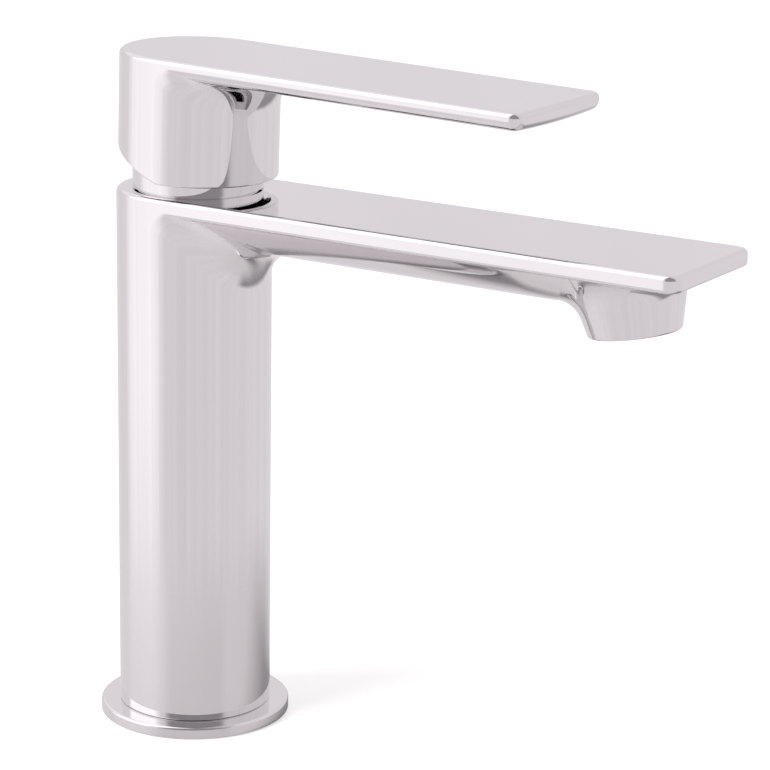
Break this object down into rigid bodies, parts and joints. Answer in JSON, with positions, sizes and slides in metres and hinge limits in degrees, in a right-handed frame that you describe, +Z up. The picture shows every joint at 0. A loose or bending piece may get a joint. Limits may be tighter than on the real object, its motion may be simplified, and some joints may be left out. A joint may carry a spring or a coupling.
{
  "type": "basin mixer faucet",
  "caption": "Single-lever basin mixer: a round column with a flat forward spout, an aerator nozzle under its end, and a flat lever that lifts and swivels a ceramic cartridge.",
  "frame": {"origin": "centre of the base ring's underside, on the basin deck and on the column's axis", "axes": "+Z up along the column, +X the way the spout points, +Y to the right of a user who faces the spout"},
  "size_m": [0.173, 0.05, 0.1779],
  "materials": {
    "polished_chrome": "polished",
    "turned_brass": "satin",
    "stainless_steel": "satin",
    "black_rubber": "matte",
    "white_acetal": "satin",
    "ceramic_disc": "polished",
    "aerator_shell_plastic": "satin",
    "grey_plastic": "satin"
  },
  "bodies": {
    "faucet": {"base_ring": "polished_chrome", "body_casting": "polished_chrome", "cap_ring": "polished_chrome", "cartridge_nut": "turned_brass", "aerator_strainer": "stainless_steel", "base_gasket": "black_rubber", "housing_oring": "black_rubber", "inlet_seals": "black_rubber", "disc_seals": "black_rubber", "aerator_gasket": "black_rubber", "cartridge_housing": "white_acetal", "cartridge_base": "white_acetal", "limit_ring": "white_acetal", "fixed_disc": "ceramic_disc", "aerator_shell": "aerator_shell_plastic", "aerator_screen": "grey_plastic", "aerator_insert": "grey_plastic"},
    "swivel": {"rotor": "white_acetal", "stem_pin": "stainless_steel"},
    "handle": {"lever": "polished_chrome", "stem": "turned_brass", "set_screw": "stainless_steel", "screw_plug": "grey_plastic"},
    "slider": {"moving_disc": "ceramic_disc", "disc_carrier": "white_acetal"}
  },
  "joints": [
    {"name": "lever_swivel", "type": "hinge", "parent": "faucet", "child": "swivel", "pos_m": [0.0012, 0, 0.144], "axis": [0, 0, 1], "range_deg": [-50, 50]},
    {"name": "lever_lift", "type": "hinge", "parent": "swivel", "child": "handle", "pos_m": [0.0012, 0, 0.144], "axis": [0, -1, 0], "range_deg": [0, 25]},
    {"name": "disc_slide", "type": "slide", "parent": "swivel", "child": "slider", "axis": [1, 0, 0], "range_m": [0, 0.0031]}
  ],
  "couplings": [
    {"joint": "disc_slide", "follows": "lever_lift", "m_per_rad": 0.007}
  ]
}
